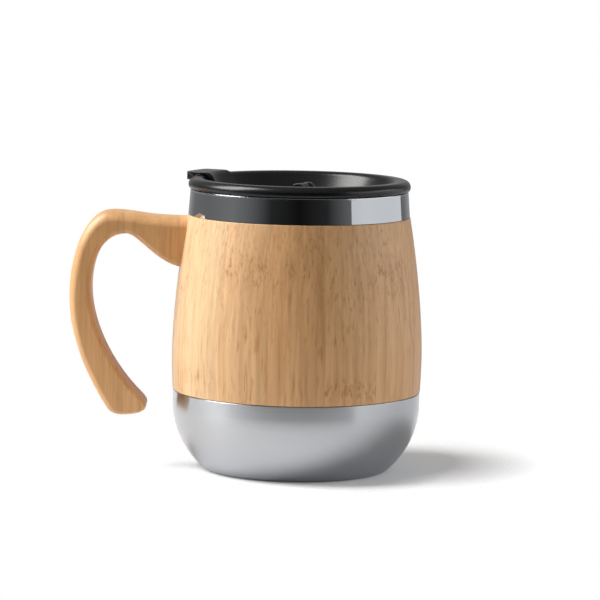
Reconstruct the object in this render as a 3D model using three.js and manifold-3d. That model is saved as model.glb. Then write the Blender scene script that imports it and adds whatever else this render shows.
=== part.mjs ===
// Insulated mug: a double-walled steel cup in a turned bamboo sleeve, on a steel base,
// with an open bamboo handle and a push-in lid whose flap closes the sip hole.
// Millimetres, +Z up. The origin is the centre of the base's underside, and the handle points to -X.

import * as THREE from 'three';
import { mergeVertices } from 'three/addons/utils/BufferGeometryUtils.js';
import Module from 'manifold-3d';

const wasm = await Module();
wasm.setup();

// Heights of the three bands that show on the outside
const BASE_HEIGHT = 28.7;
const SLEEVE_HEIGHT = 63.0;
const NECK_HEIGHT = 9.2;

// Steel base
const FOOT_RADIUS = 33.0;
const BASE_RADIUS = 44.45;
const BASE_SHOULDER = 24.0;
const BASE_WALL = 0.8;

// Bamboo sleeve
const BELLY_RADIUS = 45.0;
const BELLY_ABOVE_BASE = 13.3;
const SLEEVE_WALL = 7.5;
const NECK_DRAW_IN = 5.1;
const BARREL_POWER = 1.68;
const SLEEVE_PROUD = 0.15;
const SPIGOT_LENGTH = 5.0;

// Steel cup: outer wall, neck band and liner
const NECK_TAPER = 0.65;
const OUTER_WALL = 0.7;
const LINER_WALL = 0.6;
const VACUUM_GAP = 1.8;
const LIP_HEIGHT = 0.8;
const LIP_ROUND = 0.35;
const MOUTH_DEPTH = 6.3;
const SHOULDER_DROP = 3.6;

// Handle: distances out from the neck band, and rises and drops from the top of the sleeve
const HANDLE_THICKNESS = 15.5;
const HANDLE_ROUND = 1.7;
const HANDLE_ROOT_DROP = 1.2;
const HANDLE_ROOT_HEIGHT = 17.4;
const HANDLE_CREST_OUT = 27.0;
const HANDLE_CREST_RISE = 0.7;
const HANDLE_REACH = 42.1;
const HANDLE_REACH_DROP = 29.7;
const HANDLE_GRIP = 7.65;
const HANDLE_GRIP_DROP = 27.3;
const HANDLE_ARCH_OUT = 21.75;
const HANDLE_ARCH_DROP = 7.2;
const HANDLE_HEEL_OUT = 23.05;
const HANDLE_HEEL_DROP = 72.55;
const HANDLE_HEEL_CORNER = 5.4;
const HANDLE_TIP_OUT = 14.2;
const HANDLE_TIP_RISE = 3.2;
const HANDLE_TIP_CORNER = 5.35;
const HANDLE_TIP_FLARE = 4.0;
const ROOT_UNDERCUT = 3.5;

// Handle screws
const SCREW_HEAD_RADIUS = 2.6;
const SCREW_HEAD_HEIGHT = 1.6;
const SCREW_SHANK_RADIUS = 1.3;
const SCREW_LENGTH = 13.0;
const SCREW_POINT = 2.0;
const UPPER_SCREW_DROP = 3.7;
const SCREW_SPACING = 7.5;

// Lid
const LID_TURN = 155;
const LID_RIM_OVERHANG = 0.75;
const RIM_ROUND = 2.4;
const RIM_HEIGHT = 3.6;
const RIM_CREST = 1.6;
const DISH_DEPTH = 8.25;
const DISH_LEAN = 62;
const DISH_FILLET = 5.0;
const LID_WALL = 1.8;
const SKIRT_LENGTH = 6.0;
const SKIRT_WALL = 2.7;
const SKIRT_CHAMFER = 0.6;
const GROOVE_HEIGHT = 2.4;
const GROOVE_DEPTH = 1.5;
const GROOVE_ABOVE_SKIRT = 1.5;
const SIP_HOLE_LENGTH = 11.0;
const SIP_HOLE_WIDTH = 6.0;
const SIP_HOLE_OUT = 21.5;
const VENT_RADIUS = 1.2;
const VENT_OUT = 22.0;

// Flap and its hinge
const HINGE_OUT = -1.2;
const HINGE_ABOVE_FLOOR = 4.5;
const PIN_RADIUS = 1.0;
const BARREL_RADIUS = 2.2;
const BARREL_WIDTH = 5.0;
const EAR_THICKNESS = 2.4;
const EAR_TOP_WIDTH = 3.0;
const EAR_WALL = 1.2;
const EAR_BACK_LENGTH = 7.5;
const FLAP_WIDTH = 16.0;
const FLAP_THICKNESS = 1.8;
const FLAP_NECK_LENGTH = 9.0;
const TAB_THICKNESS = 0.8;
const TAB_LIP_HEIGHT = 3.0;
const TAB_LIP_THICKNESS = 2.3;
const TAB_CORNER = 1.2;
const PLUG_DEPTH = 1.3;
const PLUG_TAPER = 0.6;
const STEM_RADIUS = 1.6;

// Clearances between neighbours
const JOINT_GAP = 0.15;
const FIT_GAP = 0.3;
const LID_SEAT_GAP = 0.25;
const LID_SIDE_GAP = 0.4;
const GASKET_GAP = 0.2;
const HINGE_GAP = 0.1;
const FLAP_GAP = 0.3;
const BASE_CLEARANCE = 0.9;

// Smoothness of round forms
const ROUND_STEPS = 48;
const INNER_STEPS = 44;
const SMALL_STEPS = 20;
const ARC_STEPS = 5;
const LIP_STEPS = 2;
const BARREL_CURVE_STEPS = 10;
const OUTLINE_STEPS = 7;
const HANDLE_ROUND_STEPS = 3;
const WELD = 1e-4;

// Heights and radii that follow from the sizes above
const sleeveTop = BASE_HEIGHT + SLEEVE_HEIGHT;
const mouthTop = sleeveTop + NECK_HEIGHT;
const lipUnderside = mouthTop - LIP_HEIGHT;
const bellyHeight = BASE_HEIGHT + BELLY_ABOVE_BASE;
const sleeveBore = BELLY_RADIUS - SLEEVE_WALL;
const sleeveFootRadius = BASE_RADIUS + SLEEVE_PROUD;
const sleeveTopRadius = BELLY_RADIUS - NECK_DRAW_IN;
const neckFootRadius = sleeveTopRadius - SLEEVE_PROUD;
const mouthRadius = neckFootRadius - NECK_TAPER;
const spigotRadius = BASE_RADIUS - BASE_WALL - FIT_GAP;
const vesselRadius = sleeveBore - FIT_GAP;
const vesselBottom = BASE_WALL + FIT_GAP;
const linerRadius = vesselRadius - OUTER_WALL - VACUUM_GAP;
const linerBottom = vesselBottom + OUTER_WALL + VACUUM_GAP;
const linerMouthRadius = mouthRadius - OUTER_WALL - FIT_GAP;
const mouthBore = linerMouthRadius - LINER_WALL;
const rimUnderside = mouthTop + LID_SEAT_GAP;
const rimRadius = mouthRadius + LID_RIM_OVERHANG;
const rimTop = rimUnderside + RIM_HEIGHT;
const floorTop = rimTop - DISH_DEPTH;
const skirtRadius = mouthBore - LID_SIDE_GAP;
const hingeHeight = floorTop + HINGE_ABOVE_FLOOR;
const earInside = BARREL_WIDTH / 2 + FIT_GAP;
const earOutside = earInside + EAR_THICKNESS;
const flapUnderside = floorTop + FLAP_GAP;
const flapTop = flapUnderside + FLAP_THICKNESS;
const tabTop = rimTop + FLAP_GAP + TAB_THICKNESS;

// Materials
function finish(color, roughness, metalness) {
  return new THREE.MeshStandardMaterial({ color, roughness, metalness });
}

const polishedSteel = finish(0xc4c6c9, 0.12, 1.0);
const satinSteel = finish(0xb9bbbe, 0.38, 1.0);
const bamboo = finish(0xd9ab70, 0.55, 0.0);
const blackPlastic = finish(0x1b1b1c, 0.42, 0.0);
const silicone = finish(0x2c2c2e, 0.65, 0.0);

// Merges the shared corners of a closed geometry and drops the triangles that this folds flat
function weld(geometry) {
  geometry.deleteAttribute('normal');
  geometry.deleteAttribute('uv');
  const welded = mergeVertices(geometry, WELD);
  const corners = Array.from(welded.index.array);
  const triangles = [];
  for (let i = 0; i < corners.length; i += 3) {
    const [a, b, c] = corners.slice(i, i + 3);
    if (a !== b && b !== c && c !== a) triangles.push(a, b, c);
  }
  welded.setIndex(triangles);
  return welded;
}

// Turns a welded geometry into a solid that can be joined and cut
function solid(welded) {
  const vertProperties = new Float32Array(welded.attributes.position.array);
  const triVerts = new Uint32Array(welded.index.array);
  return new wasm.Manifold(new wasm.Mesh({ numProp: 3, vertProperties, triVerts }));
}

function piece(name, body, material) {
  const { vertProperties, triVerts } = body.getMesh();
  const geometry = new THREE.BufferGeometry();
  geometry.setAttribute('position', new THREE.BufferAttribute(vertProperties, 3));
  geometry.setIndex(new THREE.BufferAttribute(triVerts, 1));
  geometry.computeVertexNormals();
  const mesh = new THREE.Mesh(geometry, material);
  mesh.name = name;
  return mesh;
}

// Points of an arc in the (radius, height) plane, angles in degrees from +radius towards +height
function arc(centre, radius, from, to, steps = ARC_STEPS) {
  const points = [];
  for (let i = 0; i <= steps; i += 1) {
    const angle = THREE.MathUtils.degToRad(from + ((to - from) * i) / steps);
    points.push([centre[0] + radius * Math.cos(angle), centre[1] + radius * Math.sin(angle)]);
  }
  return points;
}

// Revolves a profile of [radius, height] points, given anticlockwise, about the Z axis
function turned(profile, steps) {
  const points = profile.map(([radius, height]) => new THREE.Vector2(radius, height));
  return weld(new THREE.LatheGeometry(points, steps)).rotateX(Math.PI / 2);
}

function revolve(profile, steps) {
  return solid(turned(profile, steps));
}

function ring(profile, steps) {
  return revolve([...profile, profile[0]], steps);
}

// A plan outline raised between two heights
function prism(shape, bottom, top) {
  const options = { depth: top - bottom, bevelEnabled: false, curveSegments: OUTLINE_STEPS };
  return weld(new THREE.ExtrudeGeometry(shape, options)).translate(0, 0, bottom);
}

// A side outline of (x, z) points spread evenly to both sides of the XZ plane, with rounded edges
function slab(shape, width, round = 0) {
  const geometry = new THREE.ExtrudeGeometry(shape, {
    depth: width - 2 * round,
    bevelEnabled: round > 0,
    bevelThickness: round,
    bevelSize: round,
    bevelOffset: -round,
    bevelSegments: HANDLE_ROUND_STEPS,
    curveSegments: OUTLINE_STEPS,
  });
  return weld(geometry).translate(0, 0, round - width / 2).rotateX(Math.PI / 2);
}

function polygon(points) {
  return new THREE.Shape(points.map(([x, y]) => new THREE.Vector2(x, y)));
}

// A rod along Y through a point of the XZ plane
function crossRod(radius, length, x, z) {
  const rod = weld(new THREE.CylinderGeometry(radius, radius, length, SMALL_STEPS));
  return solid(rod.translate(x, 0, z));
}

// An upright rod at a distance from the axis
function uprightRod(radius, bottom, top, x) {
  const rod = weld(new THREE.CylinderGeometry(radius, radius, top - bottom, SMALL_STEPS));
  return solid(rod.rotateX(Math.PI / 2).translate(x, 0, (bottom + top) / 2));
}

// Outside of the base: an arc from the foot that ends upright at the shoulder
const baseRun = BASE_RADIUS - FOOT_RADIUS;
const baseBend = (baseRun ** 2 + BASE_SHOULDER ** 2) / (2 * baseRun);
const baseCentre = [BASE_RADIUS - baseBend, BASE_SHOULDER];

function baseCurve(inset) {
  const radius = baseBend - inset;
  const start = THREE.MathUtils.radToDeg(Math.asin((inset - BASE_SHOULDER) / radius));
  return arc(baseCentre, radius, start, 0, BARREL_CURVE_STEPS - 2);
}

// Round of the steel cup's bottom corner that just touches an arc kept clear of the base's inside
function clearCorner() {
  const room = baseBend - BASE_WALL - BASE_CLEARANCE;
  const side = vesselRadius - baseCentre[0];
  const below = baseCentre[1] - vesselBottom;
  return side + below - room - Math.sqrt(2 * (room - side) * (room - below));
}

const vesselCorner = clearCorner();
const linerCorner = vesselCorner - OUTER_WALL - VACUUM_GAP;

function baseCup() {
  const outside = baseCurve(0);
  const inside = baseCurve(BASE_WALL).reverse();
  const edge = BASE_HEIGHT - JOINT_GAP;
  return revolve([
    [0, 0],
    ...outside,
    [BASE_RADIUS, edge],
    [BASE_RADIUS - BASE_WALL, edge],
    ...inside,
    [0, BASE_WALL],
  ], ROUND_STEPS);
}

// Radius of the bamboo barrel at a height, widest at the belly
function barrelRadius(height) {
  if (height < bellyHeight) {
    const share = (bellyHeight - height) / (bellyHeight - BASE_HEIGHT);
    return BELLY_RADIUS - (BELLY_RADIUS - sleeveFootRadius) * share ** 2;
  }
  const share = (height - bellyHeight) / (sleeveTop - bellyHeight);
  return BELLY_RADIUS - (BELLY_RADIUS - sleeveTopRadius) * share ** BARREL_POWER;
}

function barrelCurve(spread, top) {
  const points = [];
  for (let i = 0; i <= BARREL_CURVE_STEPS; i += 1) {
    const height = BASE_HEIGHT + ((top - BASE_HEIGHT) * i) / BARREL_CURVE_STEPS;
    points.push([barrelRadius(height) + spread, height]);
  }
  return points;
}

function bambooSleeve() {
  const spigotFoot = BASE_HEIGHT - SPIGOT_LENGTH;
  const sleeve = ring([
    [sleeveBore, spigotFoot],
    [spigotRadius, spigotFoot],
    [spigotRadius, BASE_HEIGHT],
    ...barrelCurve(0, sleeveTop - JOINT_GAP),
    [sleeveBore, sleeveTop - JOINT_GAP],
  ], ROUND_STEPS);
  return sleeve.subtract(screwHole(upperScrewHeight)).subtract(screwHole(lowerScrewHeight));
}

function outerWall() {
  const inside = vesselRadius - OUTER_WALL;
  const corner = [vesselRadius - vesselCorner, vesselBottom + vesselCorner];
  return revolve([
    [0, vesselBottom],
    ...arc(corner, vesselCorner, -90, 0),
    [vesselRadius, sleeveTop],
    [neckFootRadius, sleeveTop],
    [mouthRadius, lipUnderside],
    [mouthRadius - OUTER_WALL, lipUnderside],
    [neckFootRadius - OUTER_WALL, sleeveTop + OUTER_WALL],
    [inside, sleeveTop + OUTER_WALL],
    ...arc(corner, vesselCorner - OUTER_WALL, 0, -90),
    [0, vesselBottom + OUTER_WALL],
  ], ROUND_STEPS);
}

function innerLiner() {
  const inside = linerRadius - LINER_WALL;
  const corner = [linerRadius - linerCorner, linerBottom + linerCorner];
  const shoulderTop = mouthTop - MOUTH_DEPTH;
  const shoulderFoot = shoulderTop - SHOULDER_DROP;
  return revolve([
    [0, linerBottom],
    ...arc(corner, linerCorner, -90, 0),
    [linerRadius, shoulderFoot],
    [linerMouthRadius, shoulderTop],
    [linerMouthRadius, lipUnderside],
    [mouthRadius, lipUnderside],
    ...arc([mouthRadius - LIP_ROUND, mouthTop - LIP_ROUND], LIP_ROUND, 0, 90, LIP_STEPS),
    ...arc([mouthBore + LIP_ROUND, mouthTop - LIP_ROUND], LIP_ROUND, 90, 180, LIP_STEPS),
    [mouthBore, shoulderTop],
    [inside, shoulderFoot],
    ...arc(corner, linerCorner - LINER_WALL, 0, -90),
    [0, linerBottom + LINER_WALL],
  ], INNER_STEPS);
}

// Screws that hold the handle, from a countersink in the sleeve's bore out into the handle root
const screwStart = sleeveBore + FIT_GAP;
const upperScrewHeight = sleeveTop - UPPER_SCREW_DROP;
const lowerScrewHeight = upperScrewHeight - SCREW_SPACING;

function alongHandle(profile, height) {
  return solid(turned(profile, SMALL_STEPS).rotateY(-Math.PI / 2).translate(0, 0, height));
}

function screw(height) {
  return alongHandle([
    [0, screwStart],
    [SCREW_HEAD_RADIUS, screwStart],
    [SCREW_SHANK_RADIUS, screwStart + SCREW_HEAD_HEIGHT],
    [SCREW_SHANK_RADIUS, screwStart + SCREW_LENGTH - SCREW_POINT],
    [0, screwStart + SCREW_LENGTH],
  ], height);
}

function screwHole(height) {
  const head = SCREW_HEAD_RADIUS + FIT_GAP;
  const shank = SCREW_SHANK_RADIUS + FIT_GAP;
  return alongHandle([
    [0, screwStart - SCREW_HEAD_HEIGHT],
    [head, screwStart - SCREW_HEAD_HEIGHT],
    [head, screwStart],
    [shank, screwStart + SCREW_HEAD_HEIGHT],
    [shank, screwStart + SCREW_LENGTH + FIT_GAP],
    [0, screwStart + SCREW_LENGTH + FIT_GAP],
  ], height);
}

// Side outline of the handle. Each knot has its place and the heading of the curve there in degrees.
// leave and arrive say how far the curve keeps to the heading on its way to the next knot and into it,
// as shares of the straight distance between the two.
function handleOutline() {
  const root = -neckFootRadius;
  const rootTop = sleeveTop - HANDLE_ROOT_DROP;
  const rootFoot = rootTop - HANDLE_ROOT_HEIGHT;
  const crest = sleeveTop + HANDLE_CREST_RISE;
  const reach = sleeveTop - HANDLE_REACH_DROP;
  const heel = sleeveTop - HANDLE_HEEL_DROP;
  const tip = heel + HANDLE_TIP_RISE;
  const heelCorner = HANDLE_HEEL_OUT + HANDLE_HEEL_CORNER;
  const tipCorner = HANDLE_TIP_OUT + HANDLE_TIP_FLARE;
  const grip = HANDLE_REACH - HANDLE_GRIP;
  const knots = [
    { out: 0, z: rootTop, heading: 180, leave: 0.65 },
    { out: HANDLE_CREST_OUT, z: crest, heading: 180, arrive: 0.36, leave: 0.31 },
    { out: HANDLE_REACH, z: reach, heading: -90, arrive: 0.4, leave: 0.33 },
    { out: heelCorner, z: heel + HANDLE_HEEL_CORNER / 2, heading: -57, arrive: 0.35, leave: 0.38 },
    { out: HANDLE_HEEL_OUT, z: heel, heading: 0, arrive: 0.37, leave: 0.4 },
    { out: HANDLE_TIP_OUT, z: tip, heading: 90, arrive: 0.25, leave: 0.25 },
    { out: tipCorner, z: tip + HANDLE_TIP_CORNER, heading: 133, arrive: 0.29, leave: 0.31 },
    { out: grip, z: sleeveTop - HANDLE_GRIP_DROP, heading: 90, arrive: 0.34, leave: 0.41 },
    { out: HANDLE_ARCH_OUT, z: sleeveTop - HANDLE_ARCH_DROP, heading: 0, arrive: 0.38, leave: 0.17 },
    { out: ROOT_UNDERCUT, z: rootFoot, heading: -14, arrive: 0.39 },
  ];
  const shape = new THREE.Shape();
  shape.moveTo(root + HANDLE_ROOT_HEIGHT, rootTop);
  shape.lineTo(root, rootTop);
  for (let i = 1; i < knots.length; i += 1) {
    const from = knots[i - 1];
    const to = knots[i];
    const distance = Math.hypot(to.out - from.out, to.z - from.z);
    const out = THREE.MathUtils.degToRad(from.heading);
    const into = THREE.MathUtils.degToRad(to.heading);
    shape.bezierCurveTo(
      root - from.out + from.leave * distance * Math.cos(out),
      from.z + from.leave * distance * Math.sin(out),
      root - to.out - to.arrive * distance * Math.cos(into),
      to.z - to.arrive * distance * Math.sin(into),
      root - to.out,
      to.z,
    );
  }
  shape.lineTo(root + HANDLE_ROOT_HEIGHT, rootFoot);
  return shape;
}

function handle() {
  const blank = solid(slab(handleOutline(), HANDLE_THICKNESS, HANDLE_ROUND));
  const seat = revolve([
    [0, BASE_HEIGHT],
    ...barrelCurve(FIT_GAP, sleeveTop),
    [0, sleeveTop],
  ], ROUND_STEPS);
  return blank.subtract(seat).subtract(screwHole(upperScrewHeight)).subtract(screwHole(lowerScrewHeight));
}

// Upper surface of the lid from the dish's floor over the rim, raised by a gap
const lean = THREE.MathUtils.degToRad(DISH_LEAN);
const crestInside = rimRadius - RIM_ROUND - RIM_CREST;
const wallTop = [crestInside - RIM_ROUND * Math.sin(lean), rimTop - RIM_ROUND * (1 - Math.cos(lean))];
const wallFootHeight = floorTop + DISH_FILLET * (1 - Math.cos(lean));
const wallFootRadius = wallTop[0] - (wallTop[1] - wallFootHeight) / Math.tan(lean);
const dishFloorRadius = wallFootRadius - DISH_FILLET * Math.sin(lean);
const filletCentre = [dishFloorRadius, floorTop + DISH_FILLET];
const rimCentre = [rimRadius - RIM_ROUND, rimTop - RIM_ROUND];

function dishSurface(gap) {
  return [
    ...arc(filletCentre, DISH_FILLET - gap, -90, DISH_LEAN - 90),
    ...arc([crestInside, rimCentre[1]], RIM_ROUND + gap, 90 + DISH_LEAN, 90, ARC_STEPS - 1),
  ];
}

function rimOutside(gap, lowest) {
  const end = THREE.MathUtils.radToDeg(Math.asin((lowest - rimCentre[1]) / (RIM_ROUND + gap)));
  return arc(rimCentre, RIM_ROUND + gap, 90, end, ARC_STEPS + 1);
}

// Heights of the lid's skirt and of the gasket groove in it
const skirtFoot = rimUnderside - SKIRT_LENGTH;
const grooveFoot = skirtFoot + GROOVE_ABOVE_SKIRT;
const grooveTop = grooveFoot + GROOVE_HEIGHT;
const grooveRadius = skirtRadius - GROOVE_DEPTH;

function lidShell() {
  const floorUnderside = floorTop - LID_WALL;
  const skirtInside = skirtRadius - SKIRT_WALL;
  const undersideFillet = arc(filletCentre, DISH_FILLET + LID_WALL, -90, DISH_LEAN - 90);
  const pocketTop = undersideFillet.at(-1)[1] + JOINT_GAP;
  return revolve([
    [0, floorUnderside],
    ...undersideFillet,
    [skirtInside, pocketTop],
    [skirtInside, skirtFoot],
    [skirtRadius - SKIRT_CHAMFER, skirtFoot],
    [skirtRadius, skirtFoot + SKIRT_CHAMFER],
    [skirtRadius, grooveFoot],
    [grooveRadius, grooveFoot],
    [grooveRadius, grooveTop],
    [skirtRadius, grooveTop],
    [skirtRadius, rimUnderside],
    ...rimOutside(0, rimUnderside).reverse(),
    ...dishSurface(0).reverse(),
    [0, floorTop],
  ], ROUND_STEPS);
}

// A slot outline with round ends, across the flap's direction
function slotOutline(width, length) {
  const end = (length - width) / 2;
  const shape = new THREE.Shape();
  shape.absarc(SIP_HOLE_OUT, end, width / 2, 0, Math.PI);
  shape.absarc(SIP_HOLE_OUT, -end, width / 2, Math.PI, 2 * Math.PI);
  return shape;
}

// One of the two ears that carry the hinge pin, rooted in the dish's floor
function hingeEar(side) {
  const foot = floorTop - LID_WALL / 2;
  const top = hingeHeight + PIN_RADIUS + HINGE_GAP + EAR_WALL;
  const half = EAR_TOP_WIDTH / 2;
  const outline = polygon([
    [HINGE_OUT - half - EAR_BACK_LENGTH, foot],
    [HINGE_OUT + half + EAR_WALL, foot],
    [HINGE_OUT + half, top],
    [HINGE_OUT - half, top],
  ]);
  return solid(slab(outline, EAR_THICKNESS).translate(0, side * (earInside + EAR_THICKNESS / 2), 0));
}

function lidBody() {
  const through = [floorTop - 2 * LID_WALL, floorTop + LID_WALL];
  return lidShell()
    .add(hingeEar(1))
    .add(hingeEar(-1))
    .subtract(crossRod(PIN_RADIUS + HINGE_GAP, 2 * earOutside + EAR_THICKNESS, HINGE_OUT, hingeHeight))
    .subtract(solid(prism(slotOutline(SIP_HOLE_WIDTH, SIP_HOLE_LENGTH), ...through)))
    .subtract(uprightRod(VENT_RADIUS, ...through, -VENT_OUT));
}

function lidGasket() {
  const foot = grooveFoot + GASKET_GAP;
  const top = grooveTop - GASKET_GAP;
  const inside = grooveRadius + GASKET_GAP;
  const outside = mouthBore - GASKET_GAP;
  const round = (top - foot) / 2;
  return ring([
    [inside, foot],
    ...arc([outside - round, foot + round], round, -90, 90, ARC_STEPS - 1),
    [inside, top],
  ], INNER_STEPS);
}

// Plan of the flap: narrow between the ears, then as wide as its thumb tab
function flapPlan() {
  const neck = BARREL_WIDTH / 2;
  const half = FLAP_WIDTH / 2;
  const start = HINGE_OUT + EAR_TOP_WIDTH / 2 + EAR_WALL + FLAP_GAP;
  const end = rimRadius + FLAP_GAP + TAB_LIP_THICKNESS;
  const shape = new THREE.Shape();
  shape.moveTo(start, -neck);
  shape.lineTo(start + FLAP_NECK_LENGTH, -half);
  shape.lineTo(end - TAB_CORNER, -half);
  shape.absarc(end - TAB_CORNER, TAB_CORNER - half, TAB_CORNER, -Math.PI / 2, 0);
  shape.absarc(end - TAB_CORNER, half - TAB_CORNER, TAB_CORNER, 0, Math.PI / 2);
  shape.lineTo(start + FLAP_NECK_LENGTH, half);
  shape.lineTo(start, neck);
  return shape;
}

// Side section of the flap, which follows the dish up its wall and hooks over the rim
function flapShell() {
  const inner = HINGE_OUT + EAR_TOP_WIDTH / 2 + EAR_WALL;
  const lipFoot = tabTop - TAB_LIP_HEIGHT;
  const lipEnd = rimRadius + FLAP_GAP + TAB_LIP_THICKNESS;
  const upperGap = FLAP_GAP + FLAP_THICKNESS;
  const upperFillet = arc(filletCentre, DISH_FILLET - upperGap, -90, DISH_LEAN - 90);
  const riserTop = wallFootRadius + (tabTop - wallFootHeight) / Math.tan(lean) - upperGap / Math.sin(lean);
  return ring([
    [inner, flapUnderside],
    ...dishSurface(FLAP_GAP),
    ...rimOutside(FLAP_GAP, lipFoot),
    [lipEnd, lipFoot],
    [lipEnd, tabTop],
    [riserTop, tabTop],
    ...upperFillet.reverse(),
    [inner, flapTop],
  ], ROUND_STEPS);
}

function sipFlap() {
  const arm = polygon([
    [HINGE_OUT, hingeHeight - BARREL_RADIUS],
    [HINGE_OUT + EAR_TOP_WIDTH, flapUnderside],
    [HINGE_OUT + FLAP_NECK_LENGTH, flapUnderside],
    [HINGE_OUT + FLAP_NECK_LENGTH, flapTop],
    [HINGE_OUT, hingeHeight + BARREL_RADIUS],
  ]);
  return flapShell()
    .intersect(solid(prism(flapPlan(), floorTop, tabTop + TAB_THICKNESS)))
    .add(solid(slab(arm, BARREL_WIDTH)))
    .add(crossRod(BARREL_RADIUS, BARREL_WIDTH, HINGE_OUT, hingeHeight))
    .subtract(crossRod(PIN_RADIUS + HINGE_GAP, 2 * BARREL_WIDTH, HINGE_OUT, hingeHeight))
    .subtract(uprightRod(STEM_RADIUS + HINGE_GAP, floorTop, tabTop, SIP_HOLE_OUT));
}

// Silicone stopper: a tapered slot plug below the flap and a stem up through it
function flapPlug() {
  const width = SIP_HOLE_WIDTH - 2 * FLAP_GAP;
  const length = SIP_HOLE_LENGTH - 2 * FLAP_GAP;
  const foot = floorTop - PLUG_DEPTH;
  const plug = prism(slotOutline(width, length), foot, flapUnderside);
  const corners = plug.attributes.position;
  for (let i = 0; i < corners.count; i += 1) {
    if (corners.getZ(i) < floorTop) {
      const x = (corners.getX(i) - SIP_HOLE_OUT) * (1 - (2 * PLUG_TAPER) / width);
      const y = corners.getY(i) * (1 - (2 * PLUG_TAPER) / length);
      corners.setXY(i, SIP_HOLE_OUT + x, y);
    }
  }
  return solid(plug).add(uprightRod(STEM_RADIUS, floorTop, flapTop, SIP_HOLE_OUT));
}

const mug = new THREE.Group();
mug.add(
  piece('inner_liner', innerLiner(), satinSteel),
  piece('outer_wall', outerWall(), polishedSteel),
  piece('bamboo_sleeve', bambooSleeve(), bamboo),
  piece('base_cup', baseCup(), satinSteel),
  piece('handle', handle(), bamboo),
  piece('handle_screw_upper', screw(upperScrewHeight), satinSteel),
  piece('handle_screw_lower', screw(lowerScrewHeight), satinSteel),
);

const lid = new THREE.Group();
lid.rotation.z = THREE.MathUtils.degToRad(LID_TURN);
lid.add(
  piece('lid_body', lidBody(), blackPlastic),
  piece('lid_gasket', lidGasket(), silicone),
  piece('hinge_pin', crossRod(PIN_RADIUS, 2 * earOutside, HINGE_OUT, hingeHeight), polishedSteel),
  piece('sip_flap', sipFlap(), blackPlastic),
  piece('flap_plug', flapPlug(), silicone),
);
mug.add(lid);

export default mug;
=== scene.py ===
# %% [markdown]
# # An insulated mug in bamboo and steel
# This lesson dresses a drinking mug: a double-walled steel cup inside a turned bamboo barrel, a steel base,
# a bamboo hook handle, and a black push-in lid with a flap over the sip hole.
# The construction arrives as a packed frame, at its real size and with its moving bodies named.
# We build a smooth piece for each part of it, right where that part is, and give each piece its finish.

# %% Load the frame
import math

import bmesh
import bpy
from mathutils import Matrix, Vector
from mathutils.geometry import interpolate_bezier


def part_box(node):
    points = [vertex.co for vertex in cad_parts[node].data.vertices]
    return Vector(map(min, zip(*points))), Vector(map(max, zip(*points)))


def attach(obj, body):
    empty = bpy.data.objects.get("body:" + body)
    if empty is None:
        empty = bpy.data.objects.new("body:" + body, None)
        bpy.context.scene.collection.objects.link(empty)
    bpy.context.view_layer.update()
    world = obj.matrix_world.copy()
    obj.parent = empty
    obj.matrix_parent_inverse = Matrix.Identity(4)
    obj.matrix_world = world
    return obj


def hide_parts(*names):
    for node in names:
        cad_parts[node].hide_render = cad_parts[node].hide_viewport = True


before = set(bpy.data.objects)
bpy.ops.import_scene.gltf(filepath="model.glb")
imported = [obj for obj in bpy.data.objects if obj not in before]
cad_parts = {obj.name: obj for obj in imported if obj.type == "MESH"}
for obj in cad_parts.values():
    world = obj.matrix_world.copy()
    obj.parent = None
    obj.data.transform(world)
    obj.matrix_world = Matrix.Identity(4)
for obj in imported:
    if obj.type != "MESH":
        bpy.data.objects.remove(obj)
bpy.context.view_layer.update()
MM = 0.001

# %% [markdown]
# ## Camera
# A product photograph is taken with a long lens from a little above the table, so that upright lines stay
# nearly upright. The camera here stands 1.18 m in front of the mug and looks down by nearly seven degrees.
# It is turned a hair about its own axis too, because the mug in the picture leans slightly to the right.
# A constraint could aim it at the mug, but a place and three angles can each be corrected alone.

# %% Camera
CAMERA_PLACE = Vector((0.17, -1184.0, 199.6)) * MM
CAMERA_DOWN = 0.1166
CAMERA_YAW = -0.00055
CAMERA_ROLL = 0.0173
LENS = 198.7
SENSOR = 36.0

scene = bpy.context.scene
camera = bpy.data.objects.new("camera", bpy.data.cameras.new("camera"))
camera.data.lens = LENS
camera.data.sensor_width = SENSOR
aim = Matrix.Rotation(CAMERA_YAW, 4, "Z") @ Matrix.Rotation(math.pi / 2 - CAMERA_DOWN, 4, "X")
camera.matrix_world = Matrix.Translation(CAMERA_PLACE) @ aim @ Matrix.Rotation(CAMERA_ROLL, 4, "Z")
scene.collection.objects.link(camera)
scene.camera = camera
scene.view_settings.view_transform = "Standard"
print("camera at", [round(x, 3) for x in camera.location], "lens", LENS)

# %% [markdown]
# ## Writing shader maths
# A material is a graph of nodes, and arithmetic in it takes one Math node for each step. Wiring those by
# hand hides the formula. The small class below wraps a socket, so that `1 - mask * 0.5` adds the nodes by
# itself. Every other node comes from one method, which sets the node up before it fills the sockets.

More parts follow.
